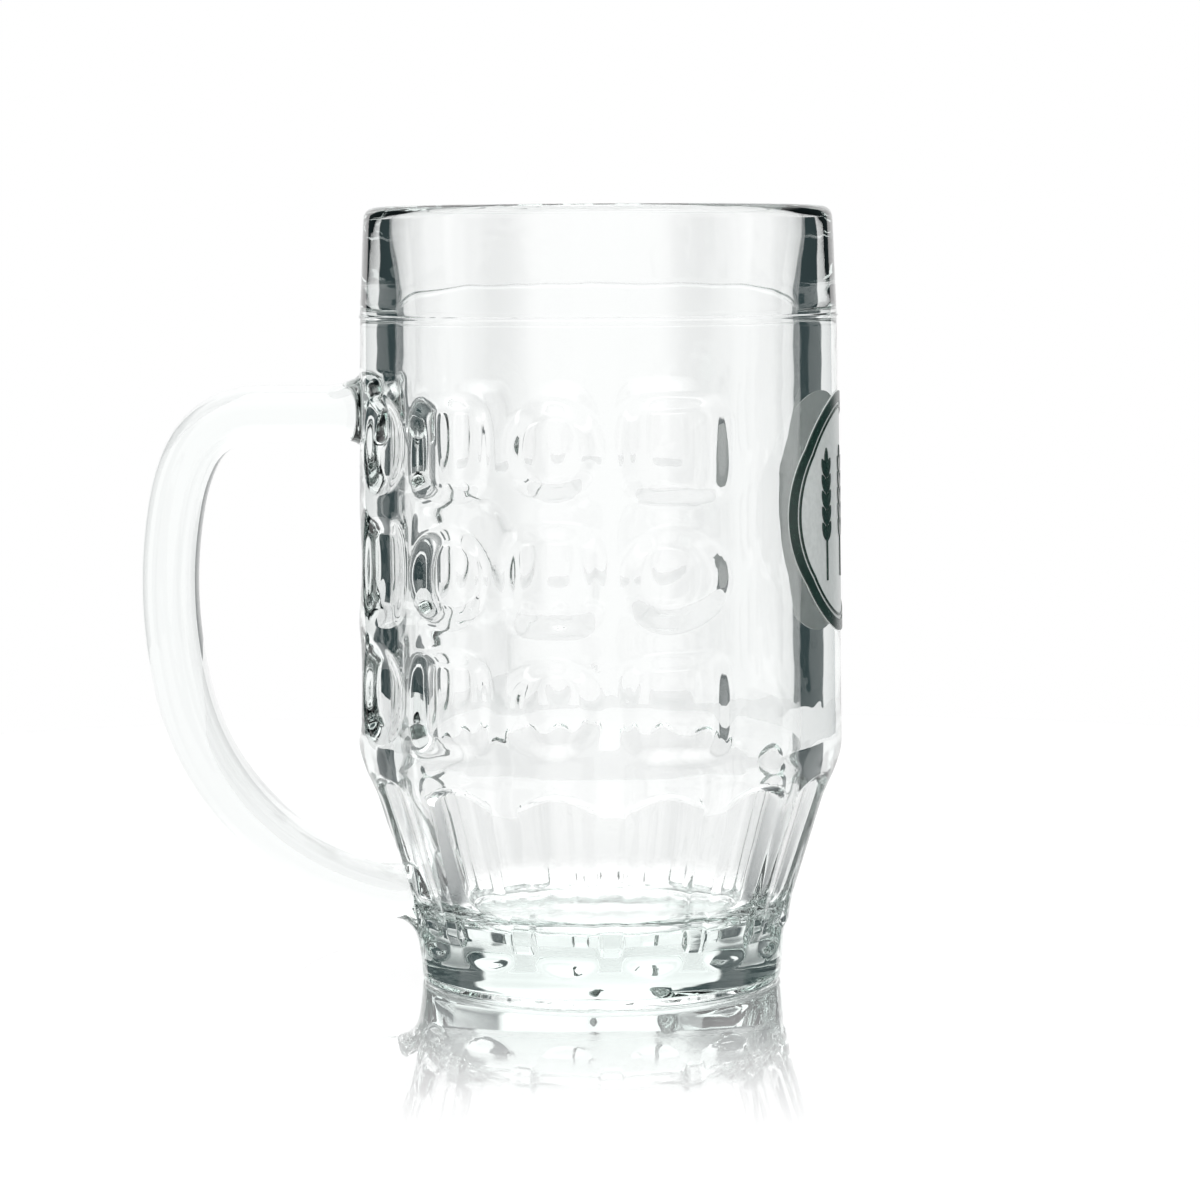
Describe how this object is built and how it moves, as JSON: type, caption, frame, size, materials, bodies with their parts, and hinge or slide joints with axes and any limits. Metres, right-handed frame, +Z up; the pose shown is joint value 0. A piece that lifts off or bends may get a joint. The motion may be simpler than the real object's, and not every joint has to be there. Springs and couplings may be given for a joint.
{
  "type": "beer mug",
  "caption": "Heavy pressed-glass beer mug with square and round dimples, a fluted skirt, a looped handle and a printed round medallion.",
  "frame": {"origin": "centre of the standing ring on the underside, on the axis of the body", "axes": "+Z up along the body's axis to the rim; -X towards the handle; +X towards the printed panel"},
  "size_m": [0.1404, 0.097, 0.155],
  "materials": {
    "body_glass": "clear pressed soda-lime glass with a slight green tint, fire polished",
    "handle_glass": "clear soda-lime glass, drawn hot and smooth",
    "enamel_silver_grey": "fired silver-grey enamel, satin",
    "enamel_dark_green": "fired dark green enamel, slight gloss"
  },
  "bodies": {
    "root": {"glass_body": "body_glass", "glass_handle": "handle_glass", "print_ground": "enamel_silver_grey", "print_border": "enamel_dark_green", "print_inner_line": "enamel_dark_green", "print_ornament": "enamel_dark_green"}
  },
  "joints": []
}
